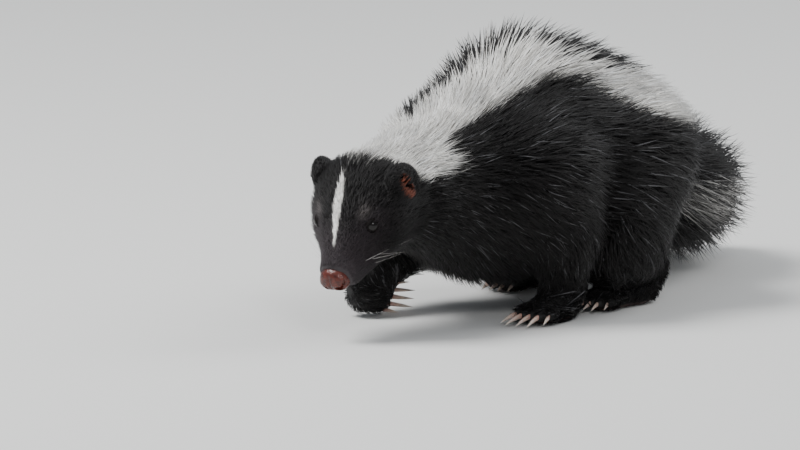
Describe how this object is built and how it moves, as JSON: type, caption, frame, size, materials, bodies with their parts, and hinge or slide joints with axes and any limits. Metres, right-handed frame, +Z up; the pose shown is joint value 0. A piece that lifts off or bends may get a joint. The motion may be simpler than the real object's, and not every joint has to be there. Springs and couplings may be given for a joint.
{
  "type": "striped skunk",
  "caption": "Life-size still model of a young striped skunk walking low with its back arched, its head held down and its tail lowered behind.",
  "frame": {"origin": "middle of the model's box, on the floor that the feet stand on", "axes": "+Z up, the tail end towards +Y, the head towards -Y, the animal's left side towards +X"},
  "size_m": [0.1536, 0.3876, 0.1595],
  "materials": {
    "black_fur": "soft",
    "white_fur": "soft",
    "skin": "satin",
    "eye": "gloss",
    "claw": "satin"
  },
  "bodies": {
    "root": {"head": "black_fur", "nose": "skin", "eye_left": "eye", "eye_right": "eye", "ear_left": "skin", "ear_right": "skin", "neck": "white_fur", "trunk": "black_fur", "tail_base": "black_fur", "tail_tip": "black_fur", "forefoot_left": "black_fur", "forefoot_right": "black_fur", "hindfoot_left": "black_fur", "hindfoot_right": "black_fur", "foreleg_left": "black_fur", "foreleg_right": "black_fur", "hindleg_left": "black_fur", "hindleg_right": "black_fur"}
  },
  "joints": []
}
